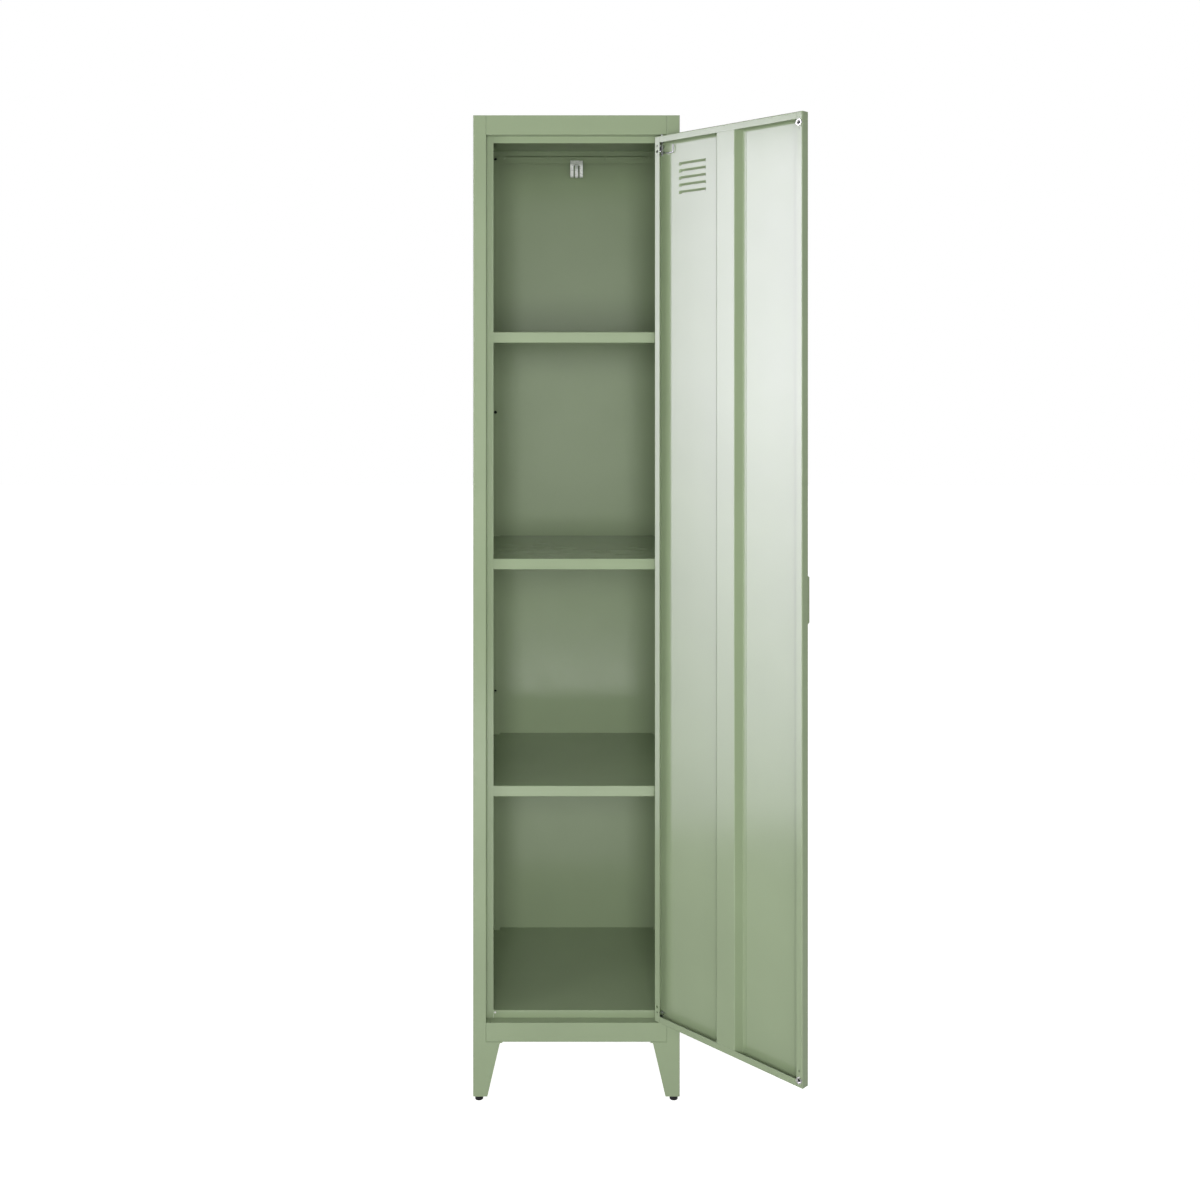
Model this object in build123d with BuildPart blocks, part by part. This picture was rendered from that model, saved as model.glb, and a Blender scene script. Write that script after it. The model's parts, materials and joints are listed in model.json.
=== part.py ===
from build123d import *
import os
from math import cos, radians, sin

# A narrow folded-steel locker on four legs: one carcass, three shelves and one hinged door.
# Millimetres. X is across the locker, -Y is the front, +Z is up. The origin is on the floor, under
# the middle of the carcass. The door stands open, swung past the right-hand stile of the frame.

# Overall size
WIDTH = 380.0
DEPTH = 390.0
FOOT_HEIGHT = 9.0
LEG_HEIGHT = 100.0
BODY_HEIGHT = 1704.0

# Sheet steel
SHEET = 0.7
LEG_SHEET = 1.5
BRACKET_SHEET = 1.2
BEND = 1.4
SEAM = 0.1

# Front frame
STILE_WIDTH = 24.0
RAIL_HEIGHT = 35.5
RECESS = 20.0
STOP_WIDTH = 12.2
FLOOR_ABOVE_RAIL = 13.5

# Rear frame
REAR_FLANGE = 27.0
PAN_BORDER = 26.4
PAN_DEPTH = 13.8
TRAY_FLANGE = 15.0
TOP_REAR_FLANGE = 10.7
TOP_SLOT_HEIGHT = 1.8
TOP_LUG_RADIUS = 4.6
TOP_SCREW_PLACES = (-154.0, -61.0, 61.0, 154.0)
TOP_SCREW_DROP = 14.5
REAR_RIVET_HEIGHTS = (135.0, 665.0, 1258.0, 1797.0)
REAR_RIVET_INSET = 17.2
SCREW_HOLE = 2.1
SCREW_SHANK = 2.0
SCREW_LENGTH = 8.0
SCREW_HEAD = 3.2
SCREW_HEAD_HEIGHT = 1.6
SCREW_HEAD_ROUND = 1.0
ACCESS_HOLE = 3.6

# Shelves
SHELF_TOPS = {"lower_shelf": 573.3, "middle_shelf": 994.7, "upper_shelf": 1415.3}
SHELF_LIP = 20.0
SHELF_LIP_RETURN = 10.0
SHELF_SETBACK = 22.6
SHELF_SIDE_GAP = 1.3
CLIP_WIDTH = 12.0
CLIP_REACH = 13.0
CLIP_TAIL = 18.0
CLIP_DEPTHS = (60.0, 320.0)

# Legs and levelling feet
LEG_TOP_WIDTH = 49.4
LEG_FOOT_WIDTH = 26.3
LEG_FLANGE_WIDTH = 54.0
FOOT_INSET = 10.5
FOOT_PAD_RADIUS = 7.5
FOOT_NECK_RADIUS = 4.6
FOOT_RIM_HEIGHT = 4.5
FOOT_STUD_RADIUS = 3.0
FOOT_STUD_TOP = 42.0
FOOT_NUT_ACROSS = 10.0
FOOT_NUT_HEIGHT = 5.0
FOOT_PLATE = 2.0
FOOT_PLATE_LIFT = 3.0
RUNNING_CLEARANCE = 0.05
CORNER_PLATE = 2.5
CORNER_PLATE_LENGTH = 47.0
LEG_SCREW_DEPTHS = (18.0, 38.0)
LEG_SCREW_INSET = 12.0
LEG_SCREW_RADIUS = 3.0
LEG_SCREW_HEAD = 5.2
LEG_SCREW_HEAD_HEIGHT = 3.2
LEG_SCREW_LENGTH = 10.0
LEG_FILLET = 3.0
SCREW_CLEARANCE = 0.3
FOOT_PAD_CLEARANCE = 1.0
FOOT_PAD_SOLE = 2.0
FOOT_PAD_BEVEL = 0.4

# Door
DOOR_THICKNESS = 17.0
DOOR_SIDE_GAP = 2.0
DOOR_BOTTOM_GAP = 4.2
DOOR_TOP_GAP = 4.2
DOOR_FLANGE = 12.0
DOOR_OPEN_ANGLE = 134.9
PIVOT_FROM_STILE = 8.4
PIVOT_FROM_FRONT = 3.6
PIVOT_RADIUS = 2.0
HINGE_FLANGE_HOLES = {18.0: 1.8, 28.0: 2.6}
FREE_FLANGE_HOLE = 28.0
FLANGE_HOLE_RADIUS = 1.6
STIFFENER_START = 145.0
STIFFENER_FACE = 39.5
STIFFENER_SLANT = 7.0
STIFFENER_FOOT = 7.0
FLANGE_SEAM = 0.4
LOUVRES = 5
LOUVRE_PITCH = 13.0
LOUVRE_FIRST_DROP = 50.5
LOUVRE_START = 45.0
LOUVRE_LENGTH = 63.0
LOUVRE_HEIGHT = 6.0
LOUVRE_PROUD = 3.4
LOUVRE_END_ANGLE = 48.0

# Magnets on the door's free edge
MAGNET_RADIUS = 5.6
MAGNET_BORE = 2.3
MAGNET_COUNTERSINK = 1.6
MAGNET_BEVEL = 0.4
RIVET_CLEARANCE = 0.1
RIVET_TAIL = 1.0
RIVET_TAIL_RADIUS = 3.2
MAGNET_THICKNESS = 2.5
MAGNET_TOP_DROP = 18.5
MAGNET_BOTTOM_RISE = 12.6

# Edge pull
PULL_LENGTH = 90.0
PULL_PROUD = 12.0
PULL_EDGE_INSET = 6.0
PULL_BASE = 16.0
PULL_SLANT = 7.0
PULL_SHEET = 1.5
PULL_HEIGHT = 957.0
PULL_SCREW_SPREAD = 28.0

# Sprung upper hinge pin
BRACKET_TOP_DROP = 16.8
BRACKET_HEIGHT = 11.5
BRACKET_REACH = 11.0
BRACKET_WIDTH = 11.0
BRACKET_GAP = 0.5
PIN_BEVEL = 0.5
PIN_LENGTH = 41.5
PIN_ABOVE_DOOR = 6.5
COLLAR_RADIUS = 2.6
COLLAR_HEIGHT = 2.4
LEVER_RADIUS = 0.9
LEVER_DROP = 30.5
LEVER_LENGTH = 27.0
LEVER_RISE = 14.2
LEVER_BEND = 2.5
SPRING_WIRE = 0.25
SPRING_COIL = 2.33
SPRING_TURNS = 4

# Lower hinge pin
LOWER_PIN_BELOW = 6.5
LOWER_PIN_ABOVE = 14.0
WASHER_RADIUS = 3.4
WASHER_THICKNESS = 3.6

# Corner buffer
BUFFER_RADIUS = 1.7
BUFFER_THICKNESS = 2.5
BUFFER_ROUND = 0.5
BUFFER_INSET = 3.3
BUFFER_DROP = 3.2

# Coat hook
HOOK_WIDTH = 6.8
HOOK_SHEET = 2.0
HOOK_REACH = 15.0
HOOK_SPREAD = 9.8
HOOK_TOP_DROP = 20.0
HOOK_OUTER_BOTTOM = 58.0
HOOK_OUTER_RISE = 25.0
HOOK_MIDDLE_BOTTOM = 57.0
HOOK_MIDDLE_RISE = 16.5
HOOK_TIP = 8.0
HOOK_TIP_LEAN = 0.2
HOOK_BEND = 2.6
HOOK_PLATE_WIDTH = 26.0
HOOK_PLATE_HEIGHT = 11.0
HOOK_PLATE_THICKNESS = 1.2

# Derived places
half_width = WIDTH / 2
front = -DEPTH / 2
rear = DEPTH / 2
body_bottom = FOOT_HEIGHT + LEG_HEIGHT
body_top = body_bottom + BODY_HEIGHT
body_middle = (body_bottom + body_top) / 2
stile_inner = half_width - STILE_WIDTH
stop_inner = stile_inner - STOP_WIDTH
stop_front = front + RECESS
stop_back = stop_front + SHEET
side_inner = half_width - SHEET
bottom_rail_top = body_bottom + RAIL_HEIGHT
top_rail_bottom = body_top - RAIL_HEIGHT
floor_top = bottom_rail_top + FLOOR_ABOVE_RAIL
pan_back = rear - SHEET - SEAM
pan_front = pan_back - PAN_DEPTH
pan_inner = pan_back - SHEET
pan_half = side_inner - SEAM
border_inner = pan_half - PAN_BORDER
panel_back = pan_inner - SEAM
skin_below_top = body_top - SHEET
hinge_x = stile_inner - PIVOT_FROM_STILE
hinge_y = front + PIVOT_FROM_FRONT
door_bottom = bottom_rail_top + DOOR_BOTTOM_GAP
door_height = top_rail_bottom - DOOR_TOP_GAP - door_bottom
door_width = 2 * (stile_inner - DOOR_SIDE_GAP)
door_hinge_edge = DOOR_SIDE_GAP - PIVOT_FROM_STILE
door_free_edge = door_hinge_edge + door_width
door_middle = (door_hinge_edge + door_free_edge) / 2
door_outer = PIVOT_FROM_FRONT
door_inner = door_outer - DOOR_THICKNESS
pivot_hole_radius = PIVOT_RADIUS + RUNNING_CLEARANCE
pull_face = door_free_edge - PULL_EDGE_INSET
pull_screw_x = pull_face - PULL_BASE / 2
foot_places = {
    "front_left": (-1, -1),
    "front_right": (1, -1),
    "rear_left": (-1, 1),
    "rear_right": (1, 1),
}

# The open door's own frame: x runs from the hinge axis to the free edge, y points out of its
# outer face, and z runs up from its lower edge.
door_angle = radians(180 + DOOR_OPEN_ANGLE)
door_frame = Plane(
    origin=(hinge_x, hinge_y, door_bottom),
    x_dir=(cos(door_angle), sin(door_angle), 0),
    z_dir=(0, 0, 1),
)


def door_point(x, y, z):
    """A point given in the open door's own frame."""
    return door_frame.from_local_coords(Vector(x, y, z))


def door_facing_in(depth):
    """The plane y = depth of the door, facing its inner side: sketch x runs to the free edge."""
    return Plane(
        origin=door_point(0, depth, 0),
        x_dir=door_frame.x_dir,
        z_dir=-door_frame.y_dir,
    )


def door_facing_free_edge(distance):
    """The plane x = distance of the door: sketch x is the door's y, sketch y is its height."""
    return Plane(
        origin=door_point(distance, 0, 0),
        x_dir=door_frame.y_dir,
        z_dir=door_frame.x_dir,
    )


def save(builder, name):
    """Label a finished piece and write it."""
    builder.part.label = name
    export_step(builder.part, f"parts/{name}.step")


os.makedirs("parts", exist_ok=True)

# ---------------------------------------------------------------- Carcass


def side_panel(sign):
    """One folded side: rear flange, wall, front stile, recess wall and door stop."""
    corners = [
        (sign * (half_width - REAR_FLANGE), rear),
        (sign * half_width, rear),
        (sign * half_width, front),
        (sign * stile_inner, front),
        (sign * stile_inner, stop_front),
        (sign * stop_inner, stop_front),
    ]
    inner_side = Side.LEFT if sign < 0 else Side.RIGHT
    with BuildPart() as panel:
        with BuildSketch(Plane.XY.offset(body_bottom)):
            with BuildLine():
                FilletPolyline(*corners, radius=BEND)
                offset(amount=SHEET, side=inner_side)
            make_face()
        extrude(amount=BODY_HEIGHT)
        # The top skin and the bottom rail lie flush inside the folded stile.
        notch_near = side_inner - SEAM
        notch_far = stop_inner - BEND
        with BuildSketch(Plane.XY.offset(skin_below_top - SEAM)):
            with Locations((sign * (notch_near + notch_far) / 2, 0)):
                Rectangle(notch_near - notch_far, DEPTH - 2 * (SHEET + SEAM))
        extrude(amount=SHEET + SEAM, mode=Mode.SUBTRACT)
        with BuildSketch(Plane.XZ.offset(-rear)):
            with Locations(*[(sign * (half_width - REAR_RIVET_INSET), z) for z in REAR_RIVET_HEIGHTS]):
                Circle(SCREW_HOLE)
        extrude(amount=2 * SHEET, mode=Mode.SUBTRACT)
    return panel


for name, sign in (("left_side_panel", -1), ("right_side_panel", 1)):
    save(side_panel(sign), name)

# The back is a shallow pan that opens forwards, with a border turned in all round.
with BuildPart() as back_panel:
    with BuildSketch(Plane.XZ.offset(-pan_back)):
        with Locations((0, body_middle)):
            Rectangle(2 * pan_half, BODY_HEIGHT)
    extrude(amount=PAN_DEPTH)
    fillet(back_panel.faces().sort_by(Axis.Y)[0].edges(), BEND)
    fillet(back_panel.faces().sort_by(Axis.Y)[-1].edges(), BEND)
    with BuildSketch(Plane.XZ.offset(-pan_inner)):
        with Locations((0, body_middle)):
            Rectangle(2 * (pan_half - SHEET), BODY_HEIGHT - 2 * SHEET)
    extrude(amount=PAN_DEPTH - 2 * SHEET, mode=Mode.SUBTRACT)
    with BuildSketch(Plane.XZ.offset(-pan_inner)):
        with Locations((0, body_middle)):
            Rectangle(2 * border_inner, BODY_HEIGHT - 2 * PAN_BORDER)
    extrude(amount=PAN_DEPTH, mode=Mode.SUBTRACT)
    with BuildSketch(Plane.XZ.offset(-pan_back)):
        for z in REAR_RIVET_HEIGHTS:
            with Locations((half_width - REAR_RIVET_INSET, z), (REAR_RIVET_INSET - half_width, z)):
                Circle(SCREW_HOLE)
    extrude(amount=SHEET, mode=Mode.SUBTRACT)
    with BuildSketch(Plane.XZ.offset(-pan_inner)):
        for z in REAR_RIVET_HEIGHTS:
            with Locations((half_width - REAR_RIVET_INSET, z), (REAR_RIVET_INSET - half_width, z)):
                Circle(ACCESS_HOLE)
        with Locations(*[(x, body_top - TOP_SCREW_DROP) for x in TOP_SCREW_PLACES]):
            Circle(SCREW_HOLE)
        # A slot in the border shows as a dark line under the top panel's rear flange.
        with Locations((0, body_top - TOP_REAR_FLANGE - TOP_SLOT_HEIGHT / 2)):
            Rectangle(2 * (border_inner - PAN_DEPTH / 2), TOP_SLOT_HEIGHT)
    extrude(amount=PAN_DEPTH, mode=Mode.SUBTRACT)
save(back_panel, "back_panel")


def tray(width, front_y, back_y, top, notch_half=None, notch_front=None):
    """A skin with its side edges turned down, notched at the rear corners if asked."""
    with BuildPart() as piece:
        with BuildSketch(Plane.XZ.offset(-back_y)):
            with BuildLine():
                FilletPolyline(
                    (-width / 2, top - TRAY_FLANGE),
                    (-width / 2, top),
                    (width / 2, top),
                    (width / 2, top - TRAY_FLANGE),
                    radius=BEND,
                )
                offset(amount=SHEET, side=Side.RIGHT)
            make_face()
        extrude(amount=back_y - front_y)
        if notch_half:
            with BuildSketch(Plane.XY.offset(top - TRAY_FLANGE)):
                for sign in (-1, 1):
                    with Locations((sign * (notch_half + width) / 2, (notch_front + back_y) / 2)):
                        Rectangle(width - notch_half, back_y - notch_front)
            extrude(amount=TRAY_FLANGE, mode=Mode.SUBTRACT)
    return piece


def flange(x_from, x_to, y, top, drop):
    """An upright strip of sheet, front face at y, to be joined to a tray's edge."""
    with BuildPart() as strip:
        with BuildSketch(Plane.XZ.offset(-(y + SHEET))):
            with Locations(((x_from + x_to) / 2, top - drop / 2)):
                Rectangle(x_to - x_from, drop)
        extrude(amount=SHEET)
    return strip


# The top is a tray that fits between the sides, the front rail and the back pan.
top_front = front + SHEET + SEAM
top_back = pan_front - SEAM
top_tray = tray(2 * pan_half, top_front, top_back, body_top)
front_flange = flange(-stile_inner + BEND, stile_inner - BEND, top_front, body_top, TRAY_FLANGE)
rear_flange = flange(-pan_half, pan_half, top_back - SHEET, body_top, TOP_REAR_FLANGE)
with BuildPart() as top_panel:
    add(top_tray.part)
    # The folded stile and the door stop stand inside the tray's side flanges.
    with BuildSketch(Plane.XY.offset(body_top - TRAY_FLANGE)):
        for sign in (-1, 1):
            with Locations((sign * (half_width + stile_inner) / 2, front + RECESS / 2)):
                Rectangle(STILE_WIDTH, RECESS + 2 * BEND)
    extrude(amount=TRAY_FLANGE - SHEET, mode=Mode.SUBTRACT)
    add(front_flange.part)
    add(rear_flange.part)
    with BuildSketch(Plane.XZ.offset(-top_back)):
        with Locations(*[(x, body_top - TOP_SCREW_DROP) for x in TOP_SCREW_PLACES]):
            Circle(TOP_LUG_RADIUS)
    extrude(amount=SHEET)
    with BuildSketch(Plane.XZ.offset(-top_back)):
        with Locations(*[(x, body_top - TOP_SCREW_DROP) for x in TOP_SCREW_PLACES]):
            Circle(SCREW_HOLE)
    extrude(amount=SHEET, mode=Mode.SUBTRACT)
save(top_panel, "top_panel")

# The top rail: its face, the recess wall under it and the door stop that hangs from that.
rail_half = stile_inner - SEAM
with BuildPart() as top_rail:
    with BuildSketch(Plane.YZ):
        with BuildLine():
            FilletPolyline(
                (front, body_top),
                (front, top_rail_bottom),
                (stop_front, top_rail_bottom),
                (stop_front, top_rail_bottom - STOP_WIDTH),
                radius=BEND,
            )
            offset(amount=SHEET, side=Side.LEFT)
        make_face()
    extrude(amount=rail_half, both=True)
    # Between the stiles' own stops the rail is cut back to the width of the opening.
    with BuildSketch(Plane.XY.offset(top_rail_bottom - STOP_WIDTH)):
        for sign in (-1, 1):
            with Locations((sign * (rail_half + stop_inner) / 2, stop_front)):
                Rectangle(rail_half - stop_inner + 2 * SEAM, 3 * BEND)
    extrude(amount=STOP_WIDTH + 2 * BEND, mode=Mode.SUBTRACT)
    with BuildSketch(Plane.XY.offset(top_rail_bottom)):
        with Locations((hinge_x, hinge_y), (-hinge_x, hinge_y)):
            Circle(pivot_hole_radius)
    extrude(amount=SHEET, mode=Mode.SUBTRACT)
save(top_rail, "top_rail")

# The bottom rail: a channel whose upper wall carries the door and the floor's front edge.
with BuildPart() as bottom_rail:
    with BuildSketch(Plane.YZ):
        with BuildLine():
            FilletPolyline(
                (front + TRAY_FLANGE, body_bottom),
                (front, body_bottom),
                (front, bottom_rail_top),
                (stop_back, bottom_rail_top),
                radius=BEND,
            )
            offset(amount=SHEET, side=Side.RIGHT)
        make_face()
    extrude(amount=rail_half, both=True)
    with BuildSketch(Plane.XY.offset(body_bottom)):
        for sign in (-1, 1):
            with Locations((sign * (rail_half + stop_inner) / 2, stop_front)):
                Rectangle(rail_half - stop_inner + 2 * SEAM, 3 * BEND)
    extrude(amount=RAIL_HEIGHT, mode=Mode.SUBTRACT)
    with BuildSketch(Plane.XY.offset(bottom_rail_top - SHEET)):
        with Locations((hinge_x, hinge_y), (-hinge_x, hinge_y)):
            Circle(pivot_hole_radius)
    extrude(amount=SHEET, mode=Mode.SUBTRACT)
save(bottom_rail, "bottom_rail")

# The floor: a tray whose front edge is turned down behind the door as the lower stop.
floor_half = side_inner - SEAM
floor_tray = tray(
    2 * floor_half, stop_back + SEAM, panel_back, floor_top, border_inner - SEAM, pan_front - SEAM
)
with BuildPart() as floor_panel:
    add(floor_tray.part)
    with BuildSketch(Plane.YZ):
        with BuildLine():
            FilletPolyline(
                (stop_front, bottom_rail_top),
                (stop_front, floor_top),
                (panel_back, floor_top),
                (panel_back, floor_top - TRAY_FLANGE),
                radius=BEND,
            )
            offset(amount=SHEET, side=Side.RIGHT)
        make_face()
    extrude(amount=stop_inner - SEAM, both=True)
save(floor_panel, "floor_panel")


# The shelves: trays with a deeper front lip that returns under the shelf.
def shelf(top):
    """One shelf with its upper face at the given height."""
    shelf_front = front + SHELF_SETBACK
    shelf_half = side_inner - SHELF_SIDE_GAP
    shelf_tray = tray(
        2 * shelf_half,
        shelf_front + BEND,
        panel_back,
        top,
        border_inner - SEAM,
        pan_front - SEAM,
    )
    with BuildPart() as piece:
        with BuildSketch(Plane.YZ):
            with BuildLine():
                FilletPolyline(
                    (shelf_front + SHELF_LIP_RETURN, top - SHELF_LIP),
                    (shelf_front, top - SHELF_LIP),
                    (shelf_front, top),
                    (panel_back, top),
                    (panel_back, top - TRAY_FLANGE),
                    radius=BEND,
                )
                offset(amount=SHEET, side=Side.RIGHT)
            make_face()
        extrude(amount=shelf_half, both=True)
        with BuildSketch(Plane.XY.offset(top - SHELF_LIP)):
            for sign in (-1, 1):
                notch_width = shelf_half - border_inner + SEAM
                notch_depth = panel_back - pan_front + SEAM
                with Locations((sign * (shelf_half - notch_width / 2), panel_back - notch_depth / 2)):
                    Rectangle(notch_width, notch_depth)
        extrude(amount=SHELF_LIP, mode=Mode.SUBTRACT)
        add(shelf_tray.part)
    return piece


def shelf_clips(top):
    """Four angle clips welded to the side walls, one under each end of a shelf's side flanges."""
    seat = top - TRAY_FLANGE
    with BuildPart() as clips:
        for sign in (-1, 1):
            for depth in CLIP_DEPTHS:
                with BuildSketch(Plane.XZ.offset(-(front + depth))):
                    with BuildLine():
                        FilletPolyline(
                            (sign * side_inner, seat - CLIP_TAIL),
                            (sign * side_inner, seat),
                            (sign * (side_inner - CLIP_REACH), seat),
                            radius=BEND,
                        )
                        offset(amount=BRACKET_SHEET, side=Side.LEFT if sign > 0 else Side.RIGHT)
                    make_face()
                extrude(amount=CLIP_WIDTH)
    return clips


for name, top in SHELF_TOPS.items():
    save(shelf(top), name)
    save(shelf_clips(top), f"{name}_clips")


# ---------------------------------------------------------------- Legs and levelling feet


def corner_faces(place):
    """The two upright planes of a corner, each facing inwards, with sketch y upwards."""
    side, end = foot_places[place]
    across = Plane(origin=(side * half_width, end * rear, 0), x_dir=(-side, 0, 0), z_dir=(0, side, 0))
    along = Plane(origin=(side * half_width, end * rear, 0), x_dir=(0, -end, 0), z_dir=(-end, 0, 0))
    return across, -end * side, along, -side * -end


def leg_outline():
    """The face of a leg: straight outside, tapered inside, spreading into its top flange."""
    shoulder = body_bottom - LEG_SHEET
    with BuildSketch() as face:
        with BuildLine():
            Polyline(
                (0, FOOT_HEIGHT),
                (0, body_bottom),
                (LEG_FLANGE_WIDTH, body_bottom),
                (LEG_FLANGE_WIDTH, shoulder),
                (LEG_TOP_WIDTH, shoulder),
                (LEG_FOOT_WIDTH, FOOT_HEIGHT),
                close=True,
            )
        make_face()
        fillet(face.vertices().sort_by_distance((LEG_TOP_WIDTH, shoulder))[0], LEG_FILLET)
    return face.sketch


def leg(place):
    """A folded corner leg with a bolting flange on top and a foot plate near the floor."""
    across, across_in, along, along_in = corner_faces(place)
    side, end = foot_places[place]
    outline = leg_outline()
    with BuildPart() as piece:
        with BuildSketch(across):
            add(outline)
        extrude(amount=across_in * LEG_SHEET)
        with BuildSketch(along):
            add(outline)
        extrude(amount=along_in * LEG_SHEET)
        flange_middle = (LEG_FLANGE_WIDTH + LEG_SHEET) / 2
        flange_size = LEG_FLANGE_WIDTH - LEG_SHEET
        with BuildSketch(Plane.XY.offset(body_bottom - LEG_SHEET)):
            with Locations((side * (half_width - flange_middle), end * (rear - flange_middle))):
                Rectangle(flange_size, flange_size)
        extrude(amount=LEG_SHEET)
        plate_size = LEG_FOOT_WIDTH - 2 * LEG_SHEET
        plate_middle = LEG_SHEET + plate_size / 2
        with BuildSketch(Plane.XY.offset(FOOT_HEIGHT + FOOT_PLATE_LIFT)):
            with Locations((side * (half_width - plate_middle), end * (rear - plate_middle))):
                Rectangle(plate_size, plate_size)
        extrude(amount=FOOT_PLATE)
        outer_edges = piece.edges().filter_by(Axis.Z).sort_by_distance((side * half_width, end * rear, 0))
        fillet(outer_edges[0], BEND)
        with BuildSketch(Plane.XY.offset(FOOT_HEIGHT)):
            with Locations((side * (half_width - FOOT_INSET), end * (rear - FOOT_INSET))):
                Circle(FOOT_STUD_RADIUS + SCREW_CLEARANCE)
        extrude(amount=LEG_HEIGHT / 2, mode=Mode.SUBTRACT)
        with BuildSketch(Plane.XY.offset(body_bottom - LEG_SHEET)):
            for depth in LEG_SCREW_DEPTHS:
                with Locations((side * (half_width - LEG_SCREW_INSET), end * (rear - depth))):
                    Circle(LEG_SCREW_RADIUS + SCREW_CLEARANCE)
        extrude(amount=LEG_SHEET, mode=Mode.SUBTRACT)
    return piece


for place in foot_places:
    save(leg(place), f"{place}_leg")

# A thick plate is welded inside each bottom corner, and each leg is screwed up into it.
with BuildPart() as corner_plates:
    plate_width = STILE_WIDTH - 2 * (SHEET + SEAM)
    plate_start = {-1: BEND + SEAM, 1: PAN_DEPTH + SHEET + 2 * SEAM}
    for side, end in foot_places.values():
        plate_length = CORNER_PLATE_LENGTH - plate_start[end]
        plate_middle = plate_start[end] + plate_length / 2
        plate_x = side * (side_inner - SEAM - plate_width / 2)
        with BuildSketch(Plane.XY.offset(body_bottom)):
            with Locations((plate_x, end * (rear - plate_middle))):
                Rectangle(plate_width, plate_length)
            for depth in LEG_SCREW_DEPTHS:
                with Locations((side * (half_width - LEG_SCREW_INSET), end * (rear - depth))):
                    Circle(LEG_SCREW_RADIUS + RUNNING_CLEARANCE, mode=Mode.SUBTRACT)
        extrude(amount=CORNER_PLATE)
save(corner_plates, "corner_plates")

with BuildPart() as leg_screws:
    for side, end in foot_places.values():
        for depth in LEG_SCREW_DEPTHS:
            spot = (side * (half_width - LEG_SCREW_INSET), end * (rear - depth))
            with BuildSketch(Plane.XY.offset(body_bottom - LEG_SHEET - LEG_SCREW_HEAD_HEIGHT)):
                with Locations(spot):
                    Circle(LEG_SCREW_HEAD)
            extrude(amount=LEG_SCREW_HEAD_HEIGHT)
            with BuildSketch(Plane.XY.offset(body_bottom - LEG_SHEET)):
                with Locations(spot):
                    Circle(LEG_SCREW_RADIUS)
            extrude(amount=LEG_SCREW_LENGTH)
save(leg_screws, "leg_screws")

with BuildPart() as foot_nuts:
    for side, end in foot_places.values():
        with BuildSketch(Plane.XY.offset(FOOT_HEIGHT + FOOT_PLATE_LIFT + FOOT_PLATE)):
            with Locations((side * (half_width - FOOT_INSET), end * (rear - FOOT_INSET))):
                RegularPolygon(FOOT_NUT_ACROSS / 2, 6, major_radius=False)
                Circle(FOOT_STUD_RADIUS + RUNNING_CLEARANCE, mode=Mode.SUBTRACT)
        extrude(amount=FOOT_NUT_HEIGHT)
save(foot_nuts, "foot_nuts")


def turned(x, y, outline):
    """A turned piece about an upright axis, from the outline of its half section."""
    with BuildPart() as piece:
        with BuildSketch(Plane(origin=(x, y, 0), x_dir=(1, 0, 0), z_dir=(0, -1, 0))):
            with BuildLine():
                Polyline(*outline, close=True)
            make_face()
        revolve(axis=Axis((x, y, 0), (0, 0, 1)))
    return piece


pad_top = FOOT_HEIGHT + FOOT_PLATE_LIFT - FOOT_PAD_CLEARANCE
for place, (side, end) in foot_places.items():
    foot_x = side * (half_width - FOOT_INSET)
    foot_y = end * (rear - FOOT_INSET)
    pad_outline = [
        (FOOT_STUD_RADIUS, FOOT_PAD_SOLE),
        (0, FOOT_PAD_SOLE),
        (0, 0),
        (FOOT_PAD_RADIUS - FOOT_PAD_BEVEL, 0),
        (FOOT_PAD_RADIUS, FOOT_PAD_BEVEL),
        (FOOT_PAD_RADIUS, FOOT_RIM_HEIGHT),
        (FOOT_NECK_RADIUS, FOOT_HEIGHT),
        (FOOT_NECK_RADIUS, pad_top),
        (FOOT_STUD_RADIUS, pad_top),
    ]
    stud_outline = [
        (0, FOOT_PAD_SOLE),
        (FOOT_STUD_RADIUS, FOOT_PAD_SOLE),
        (FOOT_STUD_RADIUS, FOOT_STUD_TOP - FOOT_PAD_BEVEL),
        (FOOT_STUD_RADIUS - FOOT_PAD_BEVEL, FOOT_STUD_TOP),
        (0, FOOT_STUD_TOP),
    ]
    save(turned(foot_x, foot_y, pad_outline), f"{place}_foot_pad")
    save(turned(foot_x, foot_y, stud_outline), f"{place}_foot_stud")


# ---------------------------------------------------------------- Fasteners and fittings


def round_head(x, y, z, length):
    """A round-headed screw or rivet: its head seats at y from the front, its shank points back."""
    head_plane = Plane(origin=(x, y, z), x_dir=(1, 0, 0), z_dir=(0, -1, 0))
    with BuildPart() as screw:
        with BuildSketch(head_plane):
            Circle(SCREW_HEAD)
        extrude(amount=SCREW_HEAD_HEIGHT)
        fillet(screw.faces().sort_by(Axis.Y)[0].edges(), SCREW_HEAD_ROUND)
        with BuildSketch(head_plane):
            Circle(SCREW_SHANK)
        extrude(amount=-length)
    return screw


# Set through the holes in the pan's border, these rivets join the back and the side panels.
rivets = [
    round_head(sign * (half_width - REAR_RIVET_INSET), pan_inner, z, rear - pan_inner)
    for z in REAR_RIVET_HEIGHTS
    for sign in (-1, 1)
]
with BuildPart() as back_panel_rivets:
    for rivet in rivets:
        add(rivet.part)
save(back_panel_rivets, "back_panel_rivets")

screws = [
    round_head(x, top_back - SHEET, body_top - TOP_SCREW_DROP, SCREW_LENGTH) for x in TOP_SCREW_PLACES
]
with BuildPart() as top_edge_screws:
    for screw in screws:
        add(screw.part)
save(top_edge_screws, "top_edge_screws")


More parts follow.
